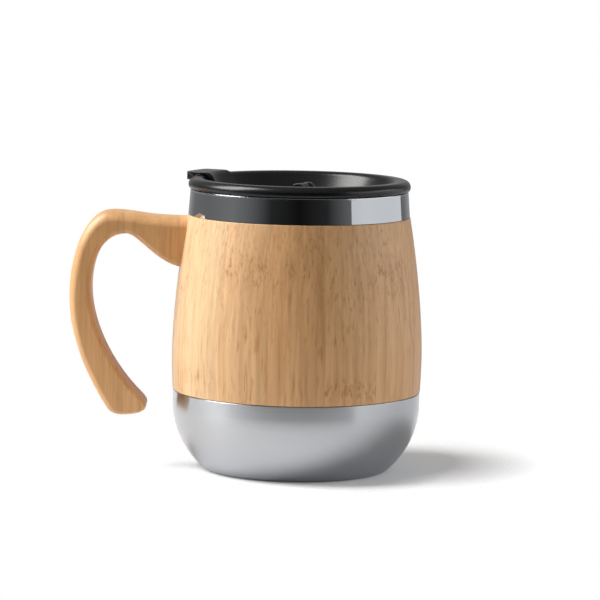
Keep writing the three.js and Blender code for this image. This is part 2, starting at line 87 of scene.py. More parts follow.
# %% Shader maths
class Flow:
    """A value that runs through a shader tree."""

    def __init__(self, tree, socket=None):
        self.tree = tree
        self.socket = socket

    def node(self, kind, settings=None, inputs=None, output=0):
        made = self.tree.nodes.new("ShaderNode" + kind)
        for name, value in (settings or {}).items():
            if name == "stops":
                self.set_stops(made.color_ramp, value)
            else:
                setattr(made, name, value)
        for name, value in (inputs or {}).items():
            if isinstance(value, Flow):
                self.tree.links.new(value.socket, made.inputs[name])
            else:
                made.inputs[name].default_value = value
        return Flow(self.tree, made.outputs[output] if made.outputs else None)

    @staticmethod
    def set_stops(ramp, stops):
        while len(ramp.elements) < len(stops):
            ramp.elements.new(1.0)
        for element, (place, level) in zip(ramp.elements, stops):
            element.position = place
            element.color = (level, level, level, 1.0)

    def maths(self, operation, *values):
        return self.node("Math", {"operation": operation}, dict(enumerate(values)))

    def __add__(self, other):
        return self.maths("ADD", self, other)

    __radd__ = __add__

    def __sub__(self, other):
        return self.maths("SUBTRACT", self, other)

    def __rsub__(self, other):
        return self.maths("SUBTRACT", other, self)

    def __mul__(self, other):
        return self.maths("MULTIPLY", self, other)

    def __truediv__(self, other):
        return self.maths("DIVIDE", self, other)


print("shader operators:", [name for name in vars(Flow) if name.startswith("__r")])

# %% [markdown]
# Patterns need a few more words: the place on the piece in millimetres, its turn about the mug's axis, a
# noise that can be stretched along each axis, a ramp that turns a grey value into a mask, and a blend
# between two colours.

# %% Words for patterns
def start_material(name):
    made = bpy.data.materials.new(name)
    made.use_nodes = True
    made.node_tree.nodes.clear()
    return made, Flow(made.node_tree)


def end_material(made, flow, inputs):
    surface = flow.node("BsdfPrincipled", {}, inputs)
    flow.node("OutputMaterial", {}, {"Surface": surface})
    print("finish", made.name, "with", len(made.node_tree.nodes), "nodes")
    return made


def place_in_mm(flow):
    place = flow.node("TexCoord", output=3)
    parts = [flow.node("SeparateXYZ", {}, {0: place}, output=axis) for axis in range(3)]
    return [part / MM for part in parts]


def round_axis(flow, x, y):
    """The angle about the mug's axis, and the distance from it."""
    return flow.maths("ARCTAN2", y, x), flow.maths("SQRT", x * x + y * y)


def noise(flow, x, y, z, detail=2.0, roughness=0.5):
    point = flow.node("CombineXYZ", {}, {0: x, 1: y, 2: z})
    inputs = {"Vector": point, "Scale": 1.0, "Detail": detail, "Roughness": roughness}
    return flow.node("TexNoise", {}, inputs)


def mask(flow, value, low, high):
    return flow.node("ValToRGB", {"stops": [(low, 0.0), (high, 1.0)]}, {0: value})


def blend(flow, share, first, second):
    return flow.node("Mix", {"data_type": "RGBA"}, {0: share, 6: first, 7: second}, output=2)


def bump(flow, height, strength, depth):
    return flow.node("Bump", {}, {"Height": height, "Strength": strength, "Distance": depth})


def colour(red, green, blue):
    return (red, green, blue, 1.0)


print("pattern words ready")

# %% [markdown]
# ## Bamboo
# Bamboo board is glued from upright staves, each a strip of cane about twenty millimetres wide. Its fibres
# are thin dark bundles in a pale ground, and they run straight up. Cut along, they show as long streaks.
# Cut at a slant they become short flecks, and across the grain they are dots. A pattern that is worked out
# through the whole solid, and not painted on, gives all three by itself, so the fibres here are columns in
# space. A cane also has a joint now and then, where the fibres tangle into a darker knuckle.
#
# The pattern is a stack of noises. Each is slow up the cane and faster across it, and they differ in pace:
# broad tones, streaks, fine lines, flecks that crowd in patches, and the tangle that shows at a knuckle.

# %% Bamboo pattern
BARREL_REACH = 44.0
STAVES = 14
STAVE_WIDTH = math.tau * BARREL_REACH / STAVES
STAVE_SHIFT = 400.0
KNUCKLE_SPACING = 122.0
KNUCKLE_START = 32.0
KNUCKLE_STEP = 40.0
KNUCKLE_HALF = 8.0
SWAY = 1.2
SWAY_PACE = (0.12, 0.12, 0.07, 1.0, 0.5)
LAYER_PACES = {
    # steps of noise in a mm across, inward and up, then detail and roughness
    "tone": (0.22, 0.22, 0.012, 2.0, 0.5),
    "streak": (0.66, 0.5, 0.014, 3.0, 0.6),
    "line": (2.2, 1.5, 0.03, 2.0, 0.5),
    "fleck": (1.1, 2.2, 0.075, 2.0, 0.55),
    "patch": (0.10, 0.10, 0.05, 1.0, 0.5),
    "tangle": (0.85, 1.1, 0.33, 2.5, 0.6),
}
# Painted highlight: the staves round this place, on the left where the key lamp falls, are blended towards
# the cream and sand colours below, which stand in for the light that whitens that side.
LIT_SIDE_PLACE = -6 * STAVE_WIDTH
LIT_SIDE_REACH = 1.9 * STAVE_WIDTH
PALE_CANE = colour(0.82, 0.462, 0.200)
HONEY_CANE = colour(0.60, 0.297, 0.112)
LIT_SIDE_CREAM = colour(0.84, 0.570, 0.310)
LIT_SIDE_SAND = colour(0.68, 0.420, 0.195)
DARK_FIBRE = colour(0.42, 0.160, 0.030)


def paced_noise(flow, place, pace):
    steps = [part * rate for part, rate in zip(place, pace)]
    return noise(flow, *steps, *pace[3:])


def bamboo_layers(flow, across, inward, up):
    """What the cane looks like at a place, from its distances in mm."""
    count = across / STAVE_WIDTH
    number = flow.maths("FLOOR", count)
    chance = flow.node("TexWhiteNoise", {"noise_dimensions": "1D"}, {"W": number})
    shift = chance * STAVE_SHIFT + up
    across = across + paced_noise(flow, (across, inward, shift), SWAY_PACE) * SWAY
    along_cane = up - number * KNUCKLE_STEP - KNUCKLE_START
    from_knuckle = flow.maths("PINGPONG", along_cane, KNUCKLE_SPACING / 2)
    # Painted highlight mask: whole on the staves nearest the lit left side, fading out about two staves
    # away.
    from_lit_side = flow.maths("ABSOLUTE", (number + 0.5) * STAVE_WIDTH - LIT_SIDE_PLACE)
    layers = {
        "chance": chance,
        "side": count - number,
        "knuckle": 1 - mask(flow, from_knuckle / KNUCKLE_HALF, 0.15, 1.0),
        "pale": 1 - mask(flow, from_lit_side / LIT_SIDE_REACH, 0.35, 1.0),
    }
    for name, pace in LAYER_PACES.items():
        layers[name] = paced_noise(flow, (across, inward, shift), pace)
    return layers


print(STAVES, "staves,", round(STAVE_WIDTH, 1), "mm wide")

# %% [markdown]
# The layers come together in two steps. Tone, streaks and the chance of each stave give a level between a
# pale and a deep shade of the ground. Flecks, knuckles, lines and glue joints then stain it towards the
# dark of the fibres, each by its own share.

# %% Bamboo finish
TONE_SHARE = 1.2
STREAK_SHARE = 2.5
CHANCE_SHARE = 0.24
SIDE_SHARE = 0.30
KNUCKLE_SHARE = 0.16
MIDDLE_LEVEL = 0.42
FLECK_RANGE = (0.54, 0.72)
PATCH_RANGE = (0.36, 0.64)
PATCH_SHARE = 0.54
LEAST_FLECK = 0.22
TANGLE_RANGE = (0.53, 0.66)
KNOT_SHARE = 0.75
LIT_SIDE_KNOT_LOSS = 0.4
LINE_RANGE = (0.52, 0.78)
LINE_SHARE = 0.14
GLUE_RANGE = (0.975, 0.99)
GLUE_SHARE = 0.10
MOST_STAIN = 0.7


def bamboo_finish(name, flow_across, roughness, pale_share, figure):
    """Oiled bamboo. The last two say how much it shows of the painted highlight on its lit left side and of
    the grain.
    """
    made, flow = start_material(name)
    x, y, z = place_in_mm(flow)
    across, inward = flow_across(flow, x, y)
    cane = bamboo_layers(flow, across, inward, z)
    level = (cane["tone"] - 0.5) * TONE_SHARE + (cane["streak"] - 0.5) * STREAK_SHARE * figure
    level = level + (cane["chance"] - 0.5) * CHANCE_SHARE + MIDDLE_LEVEL
    level = level + (cane["side"] - 0.5) * SIDE_SHARE
    level = flow.maths("MAXIMUM", level + cane["knuckle"] * KNUCKLE_SHARE, 0.0)
    honey = blend(flow, level, PALE_CANE, HONEY_CANE)
    lit_cream = blend(flow, level, LIT_SIDE_CREAM, LIT_SIDE_SAND)
    # Painted highlight: the ground turns paler on the lit left side, and the knots there are painted
    # fainter.
    ground = blend(flow, cane["pale"] * pale_share, honey, lit_cream)
    crowd = mask(flow, cane["patch"], *PATCH_RANGE) * PATCH_SHARE + LEAST_FLECK
    dash = mask(flow, cane["fleck"], *FLECK_RANGE) * crowd * figure
    knot_share = KNOT_SHARE - cane["pale"] * LIT_SIDE_KNOT_LOSS * pale_share
    knot = mask(flow, cane["tangle"], *TANGLE_RANGE) * cane["knuckle"] * knot_share
    fibre = mask(flow, cane["line"], *LINE_RANGE) * LINE_SHARE
    glue = mask(flow, cane["side"], *GLUE_RANGE) * GLUE_SHARE * pale_share
    stain = flow.maths("MINIMUM", dash + knot + fibre + glue, MOST_STAIN)
    shade = blend(flow, stain, ground, DARK_FIBRE)
    relief = cane["streak"] * 0.5 + cane["line"] * 0.15 - dash * 0.4
    return end_material(made, flow, {
        "Base Color": shade,
        "Roughness": roughness + (cane["streak"] - 0.5) * 0.16,
        "Specular IOR Level": 0.68 + 0.17 * pale_share,
        "Sheen Weight": 0.06 + 0.12 * pale_share,
        "Sheen Roughness": 0.45,
        "Normal": bump(flow, relief, 0.16, 0.12 * MM),
    })


print("stains reach", MOST_STAIN, "of the dark fibre at most")

# %% [markdown]
# The sleeve's staves stand in a ring, so across the stave means round the barrel, and inward means towards
# the axis. The ring closes behind the handle's root. The staves beside the handle, on the left where the key
# lamp falls, are painted paler: a painted highlight that whitens the lit side.
# The handle is sawn from flat board, so there the two directions are left to right and front to back.

# %% Two cuts of bamboo
BOARD_SHIFT = 3.0


def round_the_barrel(flow, x, y):
    angle, radius = round_axis(flow, x, y)
    return angle * BARREL_REACH, radius


def through_the_board(flow, x, y):
    return x + BOARD_SHIFT, y


sleeve_bamboo = bamboo_finish("sleeve_bamboo", round_the_barrel, 0.48, 1.0, 1.0)
handle_bamboo = bamboo_finish("handle_bamboo", through_the_board, 0.40, 0.0, 0.55)

# %% [markdown]
# ## Steel
# Three finishes of one metal. The neck band is polished like a mirror. The base is rubbed round and round
# with a fine abrasive, so its scratches follow the turn and smear reflections up and down but not sideways:
# that is anisotropy. The drinking cup inside is drawn and only lightly polished. A picture of scratches
# could be wrapped round instead, but noise that is worked out from the turn about the axis has no seam.

# %% Steel finishes
STEEL = colour(0.52, 0.536, 0.562)
PALE_STEEL = colour(0.57, 0.585, 0.61)
SCRATCH_PACE = 7.0
SCRATCH_DRIFT = 1.3
SLOPE_SHARE = 0.7
CLOUD_PACE = 0.06


def steel_finish(name, roughness, spread, anisotropic, scratch_depth):
    made, flow = start_material(name)
    x, y, z = place_in_mm(flow)
    angle, radius = round_axis(flow, x, y)
    height = z + radius * SLOPE_SHARE
    along = flow.maths("COSINE", angle) * SCRATCH_DRIFT
    beside = flow.maths("SINE", angle) * SCRATCH_DRIFT
    scratch = noise(flow, height * SCRATCH_PACE, along, beside, 3.0, 0.6)
    cloud = noise(flow, x * CLOUD_PACE, y * CLOUD_PACE, z * CLOUD_PACE, 2.0)
    worn = roughness + (scratch - 0.5) * spread + (cloud - 0.5) * spread
    return end_material(made, flow, {
        "Base Color": blend(flow, cloud, STEEL, PALE_STEEL),
        "Metallic": 1.0,
        "Roughness": worn,
        "Anisotropic": anisotropic,
        "Anisotropic Rotation": 0.25,
        "Normal": bump(flow, scratch, 0.05, scratch_depth),
    })


mirror_steel = steel_finish("mirror_steel", 0.045, 0.02, 0.0, 0.002 * MM)
satin_steel = steel_finish("satin_steel", 0.24, 0.05, 0.92, 0.008 * MM)
drawn_steel = steel_finish("drawn_steel", 0.16, 0.06, 0.4, 0.008 * MM)

# %% [markdown]
# ## Plastic and silicone
# The lid is moulded in black plastic from a finely spark-eroded tool, which leaves an even grain too small
# to see but large enough to make highlights soft. The seals are silicone, softer and duller still. One
# recipe serves both: a fine bump, and a slow smear that makes hands' traces a little duller than the rest.

# %% Lid finishes
PLASTIC = colour(0.004, 0.004, 0.0043)
WORN_PLASTIC = colour(0.006, 0.006, 0.0063)
SILICONE = colour(0.022, 0.022, 0.024)
WORN_SILICONE = colour(0.03, 0.03, 0.032)
GRAIN_PACE = 5.0
SMEAR_PACE = 0.11


def moulded_finish(name, shade, worn_shade, roughness, grain_depth):
    made, flow = start_material(name)
    x, y, z = place_in_mm(flow)
    grain = noise(flow, x * GRAIN_PACE, y * GRAIN_PACE, z * GRAIN_PACE, 2.0)
    smear = noise(flow, x * SMEAR_PACE, y * SMEAR_PACE, z * SMEAR_PACE, 3.0)
    return end_material(made, flow, {
        "Base Color": blend(flow, mask(flow, smear, 0.35, 0.75), shade, worn_shade),
        "Roughness": roughness + (smear - 0.5) * 0.14 + (grain - 0.5) * 0.06,
        "Specular IOR Level": 0.42,
        "Normal": bump(flow, grain, 0.12, grain_depth),
    })


black_plastic = moulded_finish("black_plastic", PLASTIC, WORN_PLASTIC, 0.27, 0.03 * MM)
black_silicone = moulded_finish("black_silicone", SILICONE, WORN_SILICONE, 0.6, 0.02 * MM)

# %% [markdown]
# ## Turned pieces
# Most of the mug is round, so most of it can be made as a potter would: draw half a section in the plane of
# radius and height, then turn it once round the axis with `spin`. A section needs three strokes: a straight
# line, an arc, and a softened corner. The arc spins the last point, and the corner is a vertex bevel.

# %% Strokes of a section
ROUND_STEPS = 128
FINE_ROUND_STEPS = 160
ARC_STEPS = 10
WELD = 2e-7
SHARP = math.radians(34)


def start(bm, radius, height):
    return bm.verts.new((radius, 0.0, height))


def line(bm, last, *stops):
    """Straight strokes to each (radius, height). Gives the points, the last one at the end."""
    points = []
    for radius, height in stops:
        point = start(bm, radius, height)
        bm.edges.new((last, point))
        points.append(point)
        last = point
    return points


def arc(bm, last, centre, degrees, steps=ARC_STEPS):
    """An arc about a (radius, height), anticlockwise if the angle is positive. Gives its end."""
    made = bmesh.ops.spin(
        bm, geom=[last], cent=(centre[0], 0.0, centre[1]), axis=(0, -1, 0),
        angle=math.radians(degrees), steps=steps, use_duplicate=False,
    )
    return made["geom_last"][0]


def soften(bm, corners, radius, segments=4):
    bmesh.ops.bevel(
        bm, geom=corners, offset=radius, offset_type="OFFSET", segments=segments,
        profile=0.5, affect="VERTICES", material=-1,
    )


def turn(bm, steps=ROUND_STEPS):
    bmesh.ops.spin(
        bm, geom=bm.verts[:] + bm.edges[:], cent=(0, 0, 0), axis=(0, 0, 1),
        angle=math.tau, steps=steps, use_merge=True, use_duplicate=False,
    )


def close_up(bm):
    bmesh.ops.remove_doubles(bm, verts=bm.verts, dist=WELD)
    bmesh.ops.recalc_face_normals(bm, faces=bm.faces)


def make_piece(name, bm, finish, body, slot, *nodes):
    """Turns a bmesh into a piece that rides on a body in place of its nodes."""
    close_up(bm)
    mesh = bpy.data.meshes.new(name)
    bm.to_mesh(mesh)
    bm.free()
    mesh.materials.append(finish)
    mesh.shade_smooth()
    mesh.set_sharp_from_angle(angle=SHARP)
    piece = bpy.data.objects.new(name, mesh)
    scene.collection.objects.link(piece)
    shading = piece.modifiers.new("flat_faces_first", "WEIGHTED_NORMAL")
    shading.keep_sharp = True
    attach(piece, body)
    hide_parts(*nodes)
    print(name, "has", len(mesh.polygons), "faces")


print("strokes ready,", ROUND_STEPS, "steps to a turn")

# %% [markdown]
# ## Steel base
# The base is pressed from sheet: a flat foot, then one arc that comes up tangent to a short upright wall.
# The arc's centre follows from that: it lies level with the shoulder, where the wall starts. A cylinder
# could be scaled ring by ring, but a drawn section keeps the arc exact and the sheet of one thickness.

# %% Base cup
FOOT_RADIUS = 33.0 * MM
SHOULDER = 24.0 * MM
SHEET = 0.8 * MM
SHEET_EDGE_ROUND = 0.25 * MM
FOOT_ROUND = 1.3 * MM
BASE_ARC_STEPS = 24
base_low, base_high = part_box("base_cup")
base_radius = base_high.y
base_run = base_radius - FOOT_RADIUS
base_bend = (base_run**2 + SHOULDER**2) / (2 * base_run)
base_centre = (base_radius - base_bend, SHOULDER)
foot_angle = math.degrees(math.asin(SHOULDER / base_bend))
inner_angle = math.degrees(math.asin((SHOULDER - SHEET) / (base_bend - SHEET)))

bm = bmesh.new()
foot, = line(bm, start(bm, 0.0, base_low.z), (FOOT_RADIUS, base_low.z))
shoulder = arc(bm, foot, base_centre, foot_angle, BASE_ARC_STEPS)
edge_out, edge_in, wall_in = line(
    bm, shoulder,
    (base_radius, base_high.z), (base_radius - SHEET, base_high.z), (base_radius - SHEET, SHOULDER),
)
floor_in = arc(bm, wall_in, base_centre, -inner_angle, BASE_ARC_STEPS)
line(bm, floor_in, (0.0, base_low.z + SHEET))
soften(bm, [edge_out, edge_in], SHEET_EDGE_ROUND, 3)
soften(bm, [foot], FOOT_ROUND, 6)
turn(bm)
make_piece("base_cup_satin", bm, satin_steel, "mug", "satin_steel", "base_cup")

# %% [markdown]
# ## Bamboo sleeve
# The barrel is widest a little above the base, and draws in towards the neck on a smooth curve. Its lower
# end has a spigot that is glued inside the base, and its bore takes the steel cup. Both rims are eased with
# sandpaper, so their corners are softened here. A sculpted cylinder would do for the eye, but a formula for
# the radius at each height can be used again, where the handle has to sit on the barrel.

# %% Bamboo sleeve
sleeve_low, sleeve_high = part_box("bamboo_sleeve")
BELLY_RADIUS = sleeve_high.y
BELLY_HEIGHT = 42.0 * MM
BARREL_POWER = 1.68
SLEEVE_FOOT_RADIUS = base_radius + 0.15 * MM
SLEEVE_TOP_RADIUS = 39.9 * MM
SLEEVE_BORE = 37.5 * MM
SPIGOT_RADIUS = 43.35 * MM
SLEEVE_FOOT = 28.7 * MM
BARREL_STEPS = 40
RIM_EASE = 0.25 * MM


def barrel_radius(height):
    if height < BELLY_HEIGHT:
        share = (BELLY_HEIGHT - height) / (BELLY_HEIGHT - SLEEVE_FOOT)
        return BELLY_RADIUS - (BELLY_RADIUS - SLEEVE_FOOT_RADIUS) * share**2
    share = (height - BELLY_HEIGHT) / (sleeve_high.z - BELLY_HEIGHT)
    return BELLY_RADIUS - (BELLY_RADIUS - SLEEVE_TOP_RADIUS) * share**BARREL_POWER


bm = bmesh.new()
spigot_in = start(bm, SLEEVE_BORE, sleeve_low.z)
*_, ledge_in = line(bm, spigot_in, (SPIGOT_RADIUS, sleeve_low.z), (SPIGOT_RADIUS, SLEEVE_FOOT))
barrel_height = sleeve_high.z - SLEEVE_FOOT
heights = [SLEEVE_FOOT + barrel_height * i / BARREL_STEPS for i in range(BARREL_STEPS + 1)]
barrel = line(bm, ledge_in, *[(barrel_radius(height), height) for height in heights])
rim_in, = line(bm, barrel[-1], (SLEEVE_BORE, sleeve_high.z))
bm.edges.new((rim_in, spigot_in))
soften(bm, [barrel[0], barrel[-1]], RIM_EASE)
turn(bm)
make_piece("sleeve_turned", bm, sleeve_bamboo, "mug", "bamboo", "bamboo_sleeve")

# %% [markdown]
# ## Steel cup
# Two drawn shells with a vacuum between them. The outer one widens at the top into the polished neck band.
# A Solidify modifier could thicken a single skin. Drawing the section up the outside of the sheet and back
# down the inside takes a few points more, and keeps the step under the band crisp.

# %% Outer wall and neck band
wall_low, wall_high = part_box("outer_wall")
NECK_FOOT_RADIUS = wall_high.y
NECK_FOOT = 91.7 * MM
MOUTH_RADIUS = 39.1 * MM
OUTER_SHEET = 0.7 * MM
VESSEL_RADIUS = 37.2 * MM
VESSEL_CORNER = 9.0 * MM
corner = (VESSEL_RADIUS - VESSEL_CORNER, wall_low.z + VESSEL_CORNER)

bm = bmesh.new()
bottom_out, = line(bm, start(bm, 0.0, wall_low.z), (corner[0], wall_low.z))
side = arc(bm, bottom_out, corner, 90)
*_, side_in = line(
    bm, side,
    (VESSEL_RADIUS, NECK_FOOT), (NECK_FOOT_RADIUS, NECK_FOOT), (MOUTH_RADIUS, wall_high.z),
    (MOUTH_RADIUS - OUTER_SHEET, wall_high.z), (NECK_FOOT_RADIUS - OUTER_SHEET, NECK_FOOT + OUTER_SHEET),
    (VESSEL_RADIUS - OUTER_SHEET, NECK_FOOT + OUTER_SHEET), (VESSEL_RADIUS - OUTER_SHEET, corner[1]),
)
bottom_in = arc(bm, side_in, corner, -90)
line(bm, bottom_in, (0.0, wall_low.z + OUTER_SHEET))
turn(bm, FINE_ROUND_STEPS)
make_piece("neck_band_polished", bm, mirror_steel, "mug", "polished_steel", "outer_wall")

# %% [markdown]
# The inner shell is the cup that holds the drink. It flares below the mouth to make room for the lid, and
# its rolled lip closes the gap to the outer wall. Its bends are round, so those corners of the section are
# softened before it is turned, which is simpler than rounding whole rings of edges afterwards.

# %% Drinking cup
liner_low, liner_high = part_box("inner_liner")
LINER_SHEET = 0.6 * MM
LINER_RADIUS = 34.7 * MM
LINER_CORNER = 6.5 * MM
LINER_MOUTH = 38.1 * MM
LIP_FOOT = 100.1 * MM
NECK_IN_TOP = 94.6 * MM
NECK_IN_FOOT = 91.0 * MM
NECK_BEND = 1.2 * MM
LIP_ROUND = 0.38 * MM
corner = (LINER_RADIUS - LINER_CORNER, liner_low.z + LINER_CORNER)

bm = bmesh.new()
bottom_out, = line(bm, start(bm, 0.0, liner_low.z), (corner[0], liner_low.z))
side = arc(bm, bottom_out, corner, 90)
waist_out, neck_out, _, _, lip_out, lip_top, neck_in, waist_in, side_in = line(
    bm, side,
    (LINER_RADIUS, NECK_IN_FOOT), (LINER_MOUTH, NECK_IN_TOP), (LINER_MOUTH, LIP_FOOT),
    (liner_high.y, LIP_FOOT), (liner_high.y, liner_high.z),
    (LINER_MOUTH - LINER_SHEET, liner_high.z), (LINER_MOUTH - LINER_SHEET, NECK_IN_TOP),
    (LINER_RADIUS - LINER_SHEET, NECK_IN_FOOT), (LINER_RADIUS - LINER_SHEET, corner[1]),
)
bottom_in = arc(bm, side_in, corner, -90)
line(bm, bottom_in, (0.0, liner_low.z + LINER_SHEET))
soften(bm, [waist_out, neck_out, neck_in, waist_in], NECK_BEND)
soften(bm, [lip_out, lip_top], LIP_ROUND)
turn(bm)
make_piece("drinking_cup", bm, drawn_steel, "mug", "liner_steel", "inner_liner")

# %% [markdown]
# ## Shaping blanks
# The handle and the parts of the lid are sawn or moulded, not turned. Each starts as a flat outline, is
# drawn out to a slab, and is then joined to another blank or cut by it, as a joiner would. `combine` does
# that last step with a Boolean modifier and takes the finished mesh from it.

# %% Blanks
def ring_points(centre, radius, first, last, steps=ARC_STEPS):
    angles = [math.radians(first + (last - first) * i / steps) for i in range(steps + 1)]
    return [(centre[0] + radius * math.cos(a), centre[1] + radius * math.sin(a)) for a in angles]


def drawn_out(corners, reach):
    """A solid from the corners of a flat outline, drawn out by a vector."""
    bm = bmesh.new()
    face = bm.faces.new([bm.verts.new(corner) for corner in corners])
    made = bmesh.ops.extrude_face_region(bm, geom=[face])
    moved = [item for item in made["geom"] if isinstance(item, bmesh.types.BMVert)]
    bmesh.ops.translate(bm, verts=moved, vec=reach)
    return bm


def slab(points, low, high):
    """A slab from an outline of (x, z) places, drawn out along Y."""
    return drawn_out([(x, low, z) for x, z in points], (0, high - low, 0))


def prism(points, low, high):
    """A prism from a plan of (x, y) places, drawn out along Z."""
    return drawn_out([(x, y, low) for x, y in points], (0, 0, high - low))


def ease(bm, least_angle, width, segments=3, where=None):
    """Rounds the edges that bend by more than an angle."""
    close_up(bm)
    bend = math.radians(least_angle)
    edges = [e for e in bm.edges if len(e.link_faces) == 2 and e.calc_face_angle() > bend]
    edges = [e for e in edges if where is None or where(e)]
    bmesh.ops.bevel(
        bm, geom=edges, offset=width, offset_type="OFFSET", segments=segments,
        profile=0.5, affect="EDGES", clamp_overlap=True, material=-1,
    )


def blank_object(bm):
    close_up(bm)
    mesh = bpy.data.meshes.new("blank")
    bm.to_mesh(mesh)
    bm.free()
    blank = bpy.data.objects.new("blank", mesh)
    scene.collection.objects.link(blank)
    return blank


def bake(*blanks):
    """The mesh of the first blank with its modifiers. The blanks are used up."""
    made = bmesh.new()
    made.from_object(blanks[0], bpy.context.evaluated_depsgraph_get())
    for blank in blanks:
        bpy.data.objects.remove(blank)
    return made


def combine(bm, other, operation):
    blank, tool = blank_object(bm), blank_object(other)
    cut = blank.modifiers.new("cut", "BOOLEAN")
    cut.operation = operation
    cut.solver = "EXACT"
    cut.object = tool
    return bake(blank, tool)


print("blanks ready")

# %% [markdown]
# ## Handle
# The handle is an open hook, sawn from one board. Its outline is a chain of curves. Each knot names its
# place, the heading of the outline there, and how firmly the curve keeps to that heading as it arrives and
# leaves. It could be drawn freehand, but with headings every bend stays smooth when one knot is moved.

# %% Handle outline
ROOT = 39.75
HANDLE_HALF = 7.75 * MM
HANDLE_KNOTS = [
    # out from the root and height in mm, heading in degrees, arrive, leave, edge round in mm
    (-3.0, 90.5, 180, 0.3, 0.3, 3.5),
    (0.0, 90.5, 180, 0.3, 0.65, 3.6),
    (27.0, 92.4, 180, 0.36, 0.31, 3.9),
    (42.1, 62.0, -90, 0.40, 0.33, 2.5),
    (28.45, 21.85, -57, 0.35, 0.38, 1.9),
    (23.05, 19.15, 0, 0.37, 0.40, 1.2),
    (14.2, 22.35, 90, 0.25, 0.25, 1.0),
    (18.2, 27.7, 133, 0.29, 0.31, 1.3),
    (34.45, 64.4, 90, 0.34, 0.41, 1.8),
    (21.75, 84.5, 0, 0.38, 0.17, 1.8),
    (3.5, 73.1, -14, 0.39, 0.3, 1.6),
    (-3.0, 71.5, -14, 0.3, 0.3, 1.6),
]
CURVE_STEPS = 14
LONG_CURVE = 8.0


def heading(degrees):
    angle = math.radians(degrees)
    return Vector((math.cos(angle), math.sin(angle), 0.0))


outline = []
for here, there in zip(HANDLE_KNOTS, HANDLE_KNOTS[1:]):
    begin, end = (Vector((-ROOT - knot[0], knot[1], 0.0)) for knot in (here, there))
    reach = (end - begin).length
    first = begin + heading(here[2]) * here[4] * reach
    second = end - heading(there[2]) * there[3] * reach
    steps = CURVE_STEPS if reach > LONG_CURVE else CURVE_STEPS // 2
    for i, place in enumerate(interpolate_bezier(begin, first, second, end, steps + 1)[:-1]):
        outline.append((place.x * MM, place.y * MM, here[5] + (there[5] - here[5]) * i / steps))
last_knot = HANDLE_KNOTS[-1]
outline.append(((-ROOT - last_knot[0]) * MM, last_knot[1] * MM, last_knot[5]))
print("outline of", len(outline), "points")

# %% [markdown]
# The outline is drawn out to a board, and its long edges are rounded over, most at the top where the thumb
# rests and least at the narrow tip. A single width can't do that, so the Bevel modifier works by weight:
# each edge carries its share of the greatest rounding. Last, the root is hollowed to sit on the barrel.

# %% Handle
MOST_ROUND = max(point[2] for point in outline) * MM
ROOT_INSIDE = 2.9
SEAT_GAP = 0.02 * MM

bm = slab([point[:2] for point in outline], -HANDLE_HALF, HANDLE_HALF)
weight = bm.edges.layers.float.new("bevel_weight_edge")


def round_at(place):
    nearest = min(outline, key=lambda point: math.hypot(point[0] - place.x, point[1] - place.z))
    return nearest[2] * MM


for edge in bm.edges:
    first, second = (vert.co for vert in edge.verts)
    along = abs(first.y - second.y) < WELD
    at_root = min(first.x, second.x) > (ROOT_INSIDE - ROOT) * MM
    if along and not at_root:
        edge[weight] = (round_at(first) + round_at(second)) / 2 / MOST_ROUND
blank = blank_object(bm)
bevel = blank.modifiers.new("round_over", "BEVEL")
bevel.limit_method = "WEIGHT"
bevel.offset_type = "OFFSET"
bevel.width = MOST_ROUND
bevel.segments = 6
bevel.profile = 0.42
bevel.use_clamp_overlap = False
handle_bm = bake(blank)

seat = bmesh.new()
seat_foot, = line(seat, start(seat, 0.0, SLEEVE_FOOT), (barrel_radius(heights[0]), SLEEVE_FOOT))
seat_curve = line(seat, seat_foot, *[(barrel_radius(height) + SEAT_GAP, height) for height in heights[1:]])
line(seat, seat_curve[-1], (0.0, sleeve_high.z))
turn(seat)
handle_bm = combine(handle_bm, seat, "DIFFERENCE")
make_piece("handle_shaped", handle_bm, handle_bamboo, "mug", "handle_bamboo", "handle")

# %% [markdown]
# ## Lid
# The lid is turned like the cup: a dish with a rolled rim, a skirt that pushes into the mouth, and a groove
# for the seal. Two ears stand on the dish's floor and carry the flap's hinge. The lid is drawn with the
# flap along X and then turned to where it sits on the mug.

# %% Lid shell
LID_TURN = Matrix.Rotation(math.radians(155), 3, "Z")
lid_low, lid_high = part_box("lid_body")
RIM_TOP = lid_high.z
RIM_ROUND = 2.4 * MM
RIM_CENTRE = (37.45 * MM, RIM_TOP - RIM_ROUND)
CREST_CENTRE = (35.85 * MM, RIM_TOP - RIM_ROUND)
FILLET_CENTRE = (27.02 * MM, 101.5 * MM)
FLOOR_TOP = 96.5 * MM
FLOOR_UNDER = 94.7 * MM
FILLET = 5.0 * MM
DISH_LEAN = 62
WALL_FOOT = (31.43 * MM, 99.15 * MM)
SKIRT_ROUND = 0.3 * MM
SKIRT = [
    # radius and height in mm: from the pocket under the dish to the skirt's foot, then up past the groove
    (34.4, 98.46), (34.4, lid_low.z / MM), (36.5, 95.15), (37.1, 95.75), (37.1, 96.65),
    (35.6, 96.65), (35.6, 99.05), (37.1, 99.05), (37.1, 101.15), (39.53, 101.15),
]


def lid_frame(bm):
    bmesh.ops.rotate(bm, verts=bm.verts, cent=(0, 0, 0), matrix=LID_TURN)
    return bm


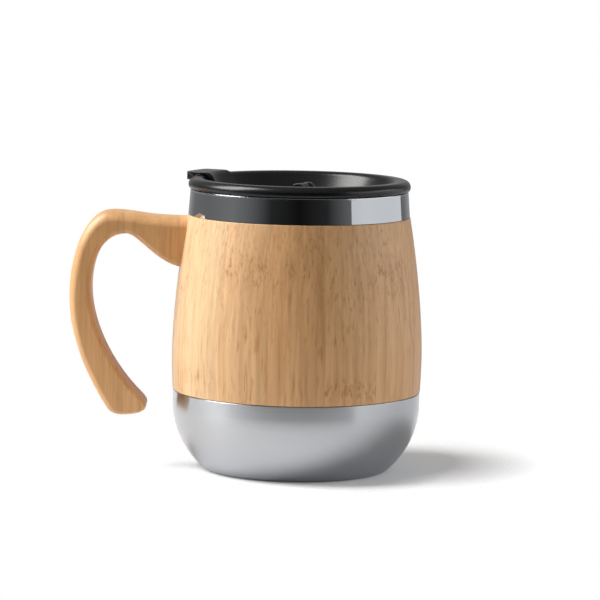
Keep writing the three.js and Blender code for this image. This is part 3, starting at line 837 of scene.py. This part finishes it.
bm = bmesh.new()
under, = line(bm, start(bm, 0.0, FLOOR_UNDER), (FILLET_CENTRE[0], FLOOR_UNDER))
pocket = arc(bm, under, FILLET_CENTRE, DISH_LEAN, 8)
skirt = line(bm, pocket, *[(radius * MM, height * MM) for radius, height in SKIRT])
crest_out = arc(bm, skirt[-1], RIM_CENTRE, 120, 20)
crest_in, = line(bm, crest_out, (CREST_CENTRE[0], RIM_TOP))
wall_top = arc(bm, crest_in, CREST_CENTRE, DISH_LEAN, 10)
wall_foot, = line(bm, wall_top, WALL_FOOT)
floor_edge = arc(bm, wall_foot, FILLET_CENTRE, -DISH_LEAN, 12)
line(bm, floor_edge, (0.0, FLOOR_TOP))
soften(bm, [skirt[1], skirt[9]], SKIRT_ROUND, 3)
turn(bm, FINE_ROUND_STEPS)
lid_shell = bm
print("lid shell", len(lid_shell.faces), "faces")

# %% [markdown]
# The ears are moulded in one with the lid and are bored for the pin. The slot is there to drink through, and
# the small hole opposite lets air in. Ears and holes are blanks of their own here, joined to the shell or
# cut from it. Working them into the turned mesh by hand would upset its even rings.

# %% Hinge ears and holes
HINGE_OUT = -1.2 * MM
HINGE_HEIGHT = 101.0 * MM
PIN_RADIUS = 1.0 * MM
HINGE_GAP = 0.1 * MM
EAR_INSIDE = 2.8 * MM
EAR_OUTSIDE = 5.2 * MM
EAR_TOP = 103.3 * MM
EAR_HALF = 1.5 * MM
EAR_BACK = 7.5 * MM
EAR_FRONT = 1.2 * MM
EAR_FOOT = FLOOR_TOP - 0.9 * MM
EAR_ROUND = 1.0 * MM
EAR_EASE = 0.35 * MM
BORE_HALF = 8.5 * MM
HOLE_FOOT = 92.0 * MM
HOLE_TOP = 98.2 * MM
SIP_OUT = 21.5 * MM
SIP_HALF = 3.0 * MM
SIP_END = 2.5 * MM
VENT_OUT = -22.0 * MM
VENT_RADIUS = 1.2 * MM


def cross_rod(radius, half, x, z, segments=40):
    return slab(ring_points((x, z), radius, 0, 360 - 360 / segments, segments - 1), -half, half)


def slot_points(half_width, end):
    first = [(SIP_OUT + x, end + y) for x, y in ring_points((0, 0), half_width, 0, 180, 16)]
    second = [(SIP_OUT + x, y - end) for x, y in ring_points((0, 0), half_width, 180, 360, 16)]
    return first + second


def hinge_ear(low, high):
    points = [
        (HINGE_OUT - EAR_HALF - EAR_BACK, EAR_FOOT), (HINGE_OUT + EAR_HALF + EAR_FRONT, EAR_FOOT),
        (HINGE_OUT + EAR_HALF, EAR_TOP), (HINGE_OUT - EAR_HALF, EAR_TOP),
    ]
    bm = slab(points, low, high)
    top_edges = []
    for edge in bm.edges:
        first, second = (vert.co for vert in edge.verts)
        if min(first.z, second.z) > FLOOR_TOP and abs(first.x - second.x) < WELD:
            top_edges.append(edge)
    bmesh.ops.bevel(
        bm, geom=top_edges, offset=EAR_ROUND, offset_type="OFFSET", segments=6,
        profile=0.5, affect="EDGES", material=-1,
    )
    ease(bm, 50, EAR_EASE)
    return bm


for low, high in ((EAR_INSIDE, EAR_OUTSIDE), (-EAR_OUTSIDE, -EAR_INSIDE)):
    lid_shell = combine(lid_shell, hinge_ear(low, high), "UNION")
pin_bore = cross_rod(PIN_RADIUS + HINGE_GAP, BORE_HALF, HINGE_OUT, HINGE_HEIGHT)
sip_hole = prism(slot_points(SIP_HALF, SIP_END), HOLE_FOOT, HOLE_TOP)
vent_hole = prism(ring_points((VENT_OUT, 0), VENT_RADIUS, 0, 345, 23), HOLE_FOOT, HOLE_TOP)
for hole in (pin_bore, sip_hole, vent_hole):
    lid_shell = combine(lid_shell, hole, "DIFFERENCE")
make_piece("lid_moulded", lid_frame(lid_shell), black_plastic, "lid", "black_plastic", "lid_body")

# %% [markdown]
# The seal is a ring with a half-round face, turned like the cup, and the hinge pin is a rod with eased ends.
# Both are hidden at rest. They are full pieces all the same, because the seal shows when the lid is lifted.

# %% Seal and pin
gasket_low, gasket_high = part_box("lid_gasket")
GASKET_INSIDE = 35.8 * MM
PIN_EASE = 0.25 * MM

bm = bmesh.new()
inside_foot = start(bm, GASKET_INSIDE, gasket_low.z)
half = (gasket_high.z - gasket_low.z) / 2
outside_foot, = line(bm, inside_foot, (gasket_high.y - half, gasket_low.z))
outside_top = arc(bm, outside_foot, (gasket_high.y - half, gasket_low.z + half), 180, 12)
inside_top, = line(bm, outside_top, (GASKET_INSIDE, gasket_high.z))
bm.edges.new((inside_top, inside_foot))
turn(bm)
make_piece("gasket_ring", bm, black_silicone, "lid", "silicone", "lid_gasket")

bm = cross_rod(PIN_RADIUS, EAR_OUTSIDE, HINGE_OUT, HINGE_HEIGHT, 32)
ease(bm, 60, PIN_EASE, 2)
make_piece("hinge_pin_steel", lid_frame(bm), drawn_steel, "lid", "screw_steel", "hinge_pin")

# %% [markdown]
# ## Flap
# The flap is a thin plate that follows the dish: along its floor, up its wall and over the rim, where a lip
# gives the thumb something to lift. The plate is a grid: stations along it, each with a top and an
# underside place, and rows across. Beyond the floor a station is a radius, so it bends with the round rim.

# %% Flap plate
FLAP_GAP = 0.3 * MM
FLAP_THICK = 1.8 * MM
TAB_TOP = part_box("sip_flap")[1].z
TAB_LIP = 2.3 * MM
LIP_FOOT_Z = TAB_TOP - 3.0 * MM
RIM_RADIUS = 39.85 * MM
FLAP_HALF = 8.0 * MM
NECK_HALF = 2.5 * MM
PLATE_START = 1.8 * MM
NECK_END = PLATE_START + 9.0 * MM
TAB_CORNER = 1.2 * MM
TAB_BEND = 3.5 * MM
FLAP_EASE = 0.3 * MM
FLOOR_STATIONS = 14
ROWS = 16
BEND_START = 12.0 * MM
BEND_RUN = 10.0 * MM


def between(first, last, steps):
    """Places along a straight stroke, without its first one."""
    run, rise = last[0] - first[0], last[1] - first[1]
    return [(first[0] + run * i / steps, first[1] + rise * i / steps) for i in range(1, steps + 1)]


upper_gap = FLAP_GAP + FLAP_THICK
under_wall = ring_points(FILLET_CENTRE, FILLET - FLAP_GAP, -90, DISH_LEAN - 90, 10)
over_wall = ring_points(FILLET_CENTRE, FILLET - upper_gap, -90, DISH_LEAN - 90, 10)
under_rim = ring_points(CREST_CENTRE, RIM_ROUND + FLAP_GAP, 90 + DISH_LEAN, 90, 10)
slope = math.tan(math.radians(DISH_LEAN))
riser_top = over_wall[-1][0] + (TAB_TOP - over_wall[-1][1]) / slope
bend_centre = (riser_top + TAB_BEND * math.tan(math.radians(DISH_LEAN / 2)), TAB_TOP - TAB_BEND)
bend = ring_points(bend_centre, TAB_BEND, 90 + DISH_LEAN, 90, 8)
stations = []
for i in range(FLOOR_STATIONS):
    x = PLATE_START + (FILLET_CENTRE[0] - PLATE_START) * i / FLOOR_STATIONS
    stations.append(((x, FLOOR_TOP + upper_gap), (x, FLOOR_TOP + FLAP_GAP)))
stations += list(zip(over_wall, under_wall))
over_riser = between(over_wall[-1], bend[0], 4) + bend[1:]
over_riser += between(bend[-1], (CREST_CENTRE[0], TAB_TOP), 4)
under_riser = between(under_wall[-1], under_rim[0], 6) + under_rim[1:]
stations += list(zip(over_riser, under_riser))
lip_end = RIM_RADIUS + FLAP_GAP + TAB_LIP
lip_angle = math.degrees(math.asin((LIP_FOOT_Z - RIM_CENTRE[1]) / (RIM_ROUND + FLAP_GAP)))
over_tab = [(RIM_CENTRE[0] + (lip_end - RIM_CENTRE[0]) * i / 8, TAB_TOP) for i in range(9)]
over_tab += [(lip_end, TAB_TOP + (LIP_FOOT_Z - TAB_TOP) * i / 4) for i in range(1, 5)]
stations += list(zip(over_tab, ring_points(RIM_CENTRE, RIM_ROUND + FLAP_GAP, 90, lip_angle, 12)))
print("flap has", len(stations), "stations")

# %% [markdown]
# The stations become rows of points, sewn into a tube of four-sided faces with a closed strip at each end.
# A plane could be bent to the dish by a modifier, but the sewn grid lets the plate grow thicker where the
# tab rises over the rim.

# %% Flap
def half_width(x):
    """Half the plate's width: narrow at the hinge, full on the dish, rounded at the tab's corners."""
    if x > lip_end - TAB_CORNER:
        past = x - lip_end + TAB_CORNER
        return FLAP_HALF - TAB_CORNER + math.sqrt(max(0.0, TAB_CORNER**2 - past**2))
    share = min(1.0, max(0.0, (x - PLATE_START) / (NECK_END - PLATE_START)))
    return NECK_HALF + (FLAP_HALF - NECK_HALF) * share


def plate_row(bm, x, z):
    """Points across the plate. Far from the hinge they lie on a circle about the mug's axis."""
    bent = min(1.0, max(0.0, (x - BEND_START) / BEND_RUN))
    points = []
    for i in range(ROWS + 1):
        y = half_width(x) * (2 * i / ROWS - 1)
        on_circle = math.sqrt(max(x * x - y * y, 0.0))
        points.append(bm.verts.new((x + bent * (on_circle - x), y, z)))
    return points


bm = bmesh.new()
over_rows = [plate_row(bm, *over) for over, under in stations]
under_rows = [plate_row(bm, *under) for over, under in stations]
loops = [over + under[::-1] for over, under in zip(over_rows, under_rows)]
for here, there in zip(loops, loops[1:]):
    for i in range(len(here)):
        bm.faces.new((here[i], there[i], there[i - 1], here[i - 1]))
for over, under in ((over_rows[0], under_rows[0]), (over_rows[-1], under_rows[-1])):
    for i in range(ROWS):
        bm.faces.new((over[i], over[i + 1], under[i + 1], under[i]))
ease(bm, 50, FLAP_EASE)
flap_bm = bm
print("flap plate", len(flap_bm.faces), "faces")

# %% [markdown]
# The flap's hinge end is an arm that reaches up from the plate and wraps round the pin. It has one side view
# from end to end, so it is a slab. It is joined to the plate first, and the bore for the pin and the hole
# for the stopper's stem are cut after that, so that each goes clean through.

# %% Hinge arm and stem hole
HINGE_BARREL = 2.2 * MM
ARM_FOOT = 3.0 * MM
ARM_REACH = 9.0 * MM
ARM_SINK = 0.05 * MM
ARM_BORE_HALF = 6.0 * MM
STEM_RADIUS = 1.6 * MM
STEM_HOLE_FOOT = 96.0 * MM
STEM_HOLE_TOP = 100.0 * MM
hinge = (HINGE_OUT, HINGE_HEIGHT)
plate_under, plate_top = FLOOR_TOP + FLAP_GAP, FLOOR_TOP + upper_gap
arm = ring_points(hinge, HINGE_BARREL, 62, 262, 22)
arm += [
    (HINGE_OUT + ARM_FOOT, plate_under), (HINGE_OUT + ARM_REACH, plate_under),
    (HINGE_OUT + ARM_REACH, plate_top - ARM_SINK),
]
bm = slab(arm, -NECK_HALF, NECK_HALF)
ease(bm, 50, FLAP_EASE)
flap_bm = combine(flap_bm, bm, "UNION")
pin_bore = cross_rod(PIN_RADIUS + HINGE_GAP, ARM_BORE_HALF, *hinge)
stem_plan = ring_points((SIP_OUT, 0), STEM_RADIUS + HINGE_GAP, 0, 350, 35)
stem_hole = prism(stem_plan, STEM_HOLE_FOOT, STEM_HOLE_TOP)
for hole in (pin_bore, stem_hole):
    flap_bm = combine(flap_bm, hole, "DIFFERENCE")
make_piece("flap_moulded", lid_frame(flap_bm), black_plastic, "flap", "black_plastic", "sip_flap")

# %% [markdown]
# The stopper under the flap is a soft plug with a stem that is pulled up through the plate. It tapers, so
# that it finds the sip hole as the flap closes. It starts as the plan of that hole, a little smaller, and
# the points at its foot are then drawn in.

# %% Stopper
PLUG_FOOT = 95.2 * MM
PLUG_TAPER = 0.6 * MM
PLUG_GAP = 0.01 * MM
STEM_FOOT = 96.5 * MM
STEM_EASED = 98.0 * MM
STEM_EASE = 0.3 * MM
PLUG_EASE = 0.35 * MM

bm = prism(slot_points(SIP_HALF - FLAP_GAP, SIP_END), PLUG_FOOT, plate_under - PLUG_GAP)
for vert in bm.verts:
    if vert.co.z < FLOOR_TOP:
        vert.co.x = SIP_OUT + (vert.co.x - SIP_OUT) * (1 - PLUG_TAPER / (SIP_HALF - FLAP_GAP))
        vert.co.y *= 1 - PLUG_TAPER / (SIP_HALF - FLAP_GAP + SIP_END)
ease(bm, 60, PLUG_EASE, where=lambda edge: max(v.co.z for v in edge.verts) < FLOOR_TOP)
stem = prism(ring_points((SIP_OUT, 0), STEM_RADIUS, 0, 350, 35), STEM_FOOT, plate_top)
ease(stem, 60, STEM_EASE, where=lambda edge: min(v.co.z for v in edge.verts) > STEM_EASED)
bm = combine(bm, stem, "UNION")
make_piece("stopper", lid_frame(bm), black_silicone, "flap", "silicone", "flap_plug")

# %% [markdown]
# Two wood screws hold the handle from inside the barrel. They are hidden, but they are part of the mug. A
# thread would never be seen, so one turned section gives the head, the shank and the point.

# %% Handle screws
SCREW_HEIGHTS = {"handle_screw_upper": 88.0 * MM, "handle_screw_lower": 80.5 * MM}
SCREW_HEAD = 37.8 * MM
SCREW_POINT = 50.8 * MM
HEAD_RADIUS = 2.6 * MM
HEAD_DEPTH = 1.6 * MM
SHANK_RADIUS = 1.3 * MM
POINT_DEPTH = 2.0 * MM
TO_HANDLE = Matrix.Rotation(-math.pi / 2, 3, "Y")

for name, height in SCREW_HEIGHTS.items():
    bm = bmesh.new()
    line(
        bm, start(bm, 0.0, SCREW_HEAD),
        (HEAD_RADIUS, SCREW_HEAD), (SHANK_RADIUS, SCREW_HEAD + HEAD_DEPTH),
        (SHANK_RADIUS, SCREW_POINT - POINT_DEPTH), (0.0, SCREW_POINT),
    )
    turn(bm, 32)
    bmesh.ops.rotate(bm, verts=bm.verts, cent=(0, 0, 0), matrix=TO_HANDLE)
    bmesh.ops.translate(bm, verts=bm.verts, vec=(0, 0, height))
    make_piece(name + "_steel", bm, drawn_steel, "mug", "screw_steel", name)

# %% [markdown]
# ## Stage
# A plain pale floor takes the mug's shadow. Away from the foot and the shadow it fades into the background,
# which the camera sees as plain white. The studio round it is dim: a grey wall, brightest behind the mug,
# that only reflections and soft light see. A picture of a studio could stand in for the wall, but a glow
# that depends on the direction alone is enough for steel this simple.

# %% Floor and surround
FLOOR_DROP = 0.02 * MM
FLOOR_SIZE = 0.9
FLOOR_FRONT = -0.18
SHADOW_CENTRE = (25.0, 18.0)
SHADOW_REACH = (34.0, 64.0)
FOOT_CENTRE = (3.0, -6.0)
FOOT_REACH = (38.0, 52.0)
FLOOR_SEEN = 0.92
FLOOR_BOUNCE = 0.80
FLOOR_MIRRORED = 0.79
FLOOR_LIFT = 0.085
WALL_RADIUS = 1.6
WALL_HEIGHT = 1.5
WALL_SEGMENTS = 64
WALL_GLOW = [
    # share of the way round from the camera's side to behind the mug, then the glow there
    (0.0, 0.008), (0.16, 0.03), (0.29, 0.17), (0.40, 0.25),
    (0.60, 0.20), (0.78, 0.21), (0.88, 0.36), (1.0, 0.46),
]


def stage_piece(name, bm, made):
    mesh = bpy.data.meshes.new(name)
    bm.to_mesh(mesh)
    bm.free()
    mesh.materials.append(made)
    piece = bpy.data.objects.new(name, mesh)
    scene.collection.objects.link(piece)
    return piece


def fade_out(flow, right, back, reach):
    """Nothing within the first distance of a place, all beyond the second."""
    distance = flow.maths("SQRT", right * right + back * back)
    return mask(flow, distance / reach[1], reach[0] / reach[1], 1.0)


made, flow = start_material("pale_floor")
x, y = place_in_mm(flow)[:2]
edge = fade_out(flow, x - SHADOW_CENTRE[0], y - SHADOW_CENTRE[1], SHADOW_REACH)
edge = edge * fade_out(flow, x - FOOT_CENTRE[0], y - FOOT_CENTRE[1], FOOT_REACH)
camera_ray = flow.node("LightPath", output=0)
mirror_ray = flow.node("LightPath", output=3)
level = camera_ray * (FLOOR_SEEN - FLOOR_BOUNCE) + mirror_ray * (FLOOR_MIRRORED - FLOOR_BOUNCE)
paint = flow.node("BsdfDiffuse", {}, {"Color": level + FLOOR_BOUNCE})
lift = flow.node("Emission", {}, {"Color": camera_ray * FLOOR_LIFT})
lit = flow.node("AddShader", {}, {0: paint, 1: lift})
clear = flow.node("BsdfTransparent", {}, {})
surface = flow.node("MixShader", {}, {0: edge * camera_ray, 1: lit, 2: clear})
flow.node("OutputMaterial", {}, {"Surface": surface})

bm = bmesh.new()
bmesh.ops.create_grid(bm, x_segments=1, y_segments=1, size=FLOOR_SIZE)
bmesh.ops.translate(bm, verts=bm.verts, vec=(0, FLOOR_FRONT + FLOOR_SIZE, -FLOOR_DROP))
stage_piece("floor", bm, made)

made, flow = start_material("dim_wall")
x, y = place_in_mm(flow)[:2]
from_camera = flow.maths("ABSOLUTE", flow.maths("ARCTAN2", x, 0.0 - y)) / math.pi
glow = flow.node("ValToRGB", {"stops": WALL_GLOW}, {0: from_camera})
glow = flow.node("Emission", {}, {"Color": glow})
flow.node("OutputMaterial", {}, {"Surface": glow})
bm = bmesh.new()
bmesh.ops.create_cone(
    bm, cap_ends=False, segments=WALL_SEGMENTS, radius1=WALL_RADIUS, radius2=WALL_RADIUS, depth=WALL_HEIGHT,
)
wall = stage_piece("dim_wall", bm, made)
wall.visible_camera = False
wall.visible_shadow = False
print("floor", 2 * FLOOR_SIZE, "m wide, wall", 2 * WALL_RADIUS, "m across")

# %% [markdown]
# One large lamp stands high on the left. A white panel glows low on the right, which is what the polished
# band shows as a bright patch, and a long strip above the panel fills the shaded side. They are rectangles
# and not points, because polished metal shows the shape of its lights and a point would be a mere speck.

# %% World and lamps
AMBIENT = 0.26
WARM_WHITE = (1.0, 0.995, 0.985)
COOL_WHITE = (0.97, 0.985, 1.0)
LAMPS = {
    "key_lamp": dict(swing=-86, rise=42, distance=1.0, width=0.55, height=0.8, power=15.2, tint=WARM_WHITE),
    "side_panel": dict(swing=93, rise=3, distance=0.8, width=1.25, height=0.38, power=1.09, tint=COOL_WHITE),
    "fill_lamp": dict(swing=84, rise=21, distance=1.0, width=1.2, height=0.22, power=1.8, tint=COOL_WHITE),
}
MUG_MIDDLE = Vector((0.0, 0.0, 55.0)) * MM

world = bpy.data.worlds.new("white_room")
world.use_nodes = True
world.node_tree.nodes.clear()
scene.world = world
flow = Flow(world.node_tree)
level = flow.node("LightPath", output=0) * (1 - AMBIENT) + AMBIENT
sky = flow.node("Background", {}, {"Color": level})
flow.node("OutputWorld", {}, {"Surface": sky})


def area_lamp(name, swing, rise, distance, width, height, power, tint):
    """A lamp that faces the mug. Its swing in degrees is from the camera's side to the right."""
    lamp = bpy.data.lights.new(name, "AREA")
    lamp.shape = "RECTANGLE"
    lamp.size = width
    lamp.size_y = height
    lamp.energy = power
    lamp.color = tint
    turned, raised = math.radians(swing), math.radians(rise)
    place = Vector((
        math.sin(turned) * math.cos(raised), -math.cos(turned) * math.cos(raised), math.sin(raised),
    ))
    stand = bpy.data.objects.new(name, lamp)
    stand.location = MUG_MIDDLE + place * distance
    stand.rotation_euler = place.to_track_quat("Z", "Y").to_euler()
    stand.visible_camera = False
    scene.collection.objects.link(stand)
    print(name, "at", [round(x, 2) for x in stand.location])


for name, settings in LAMPS.items():
    area_lamp(name, **settings)

# %% [markdown]
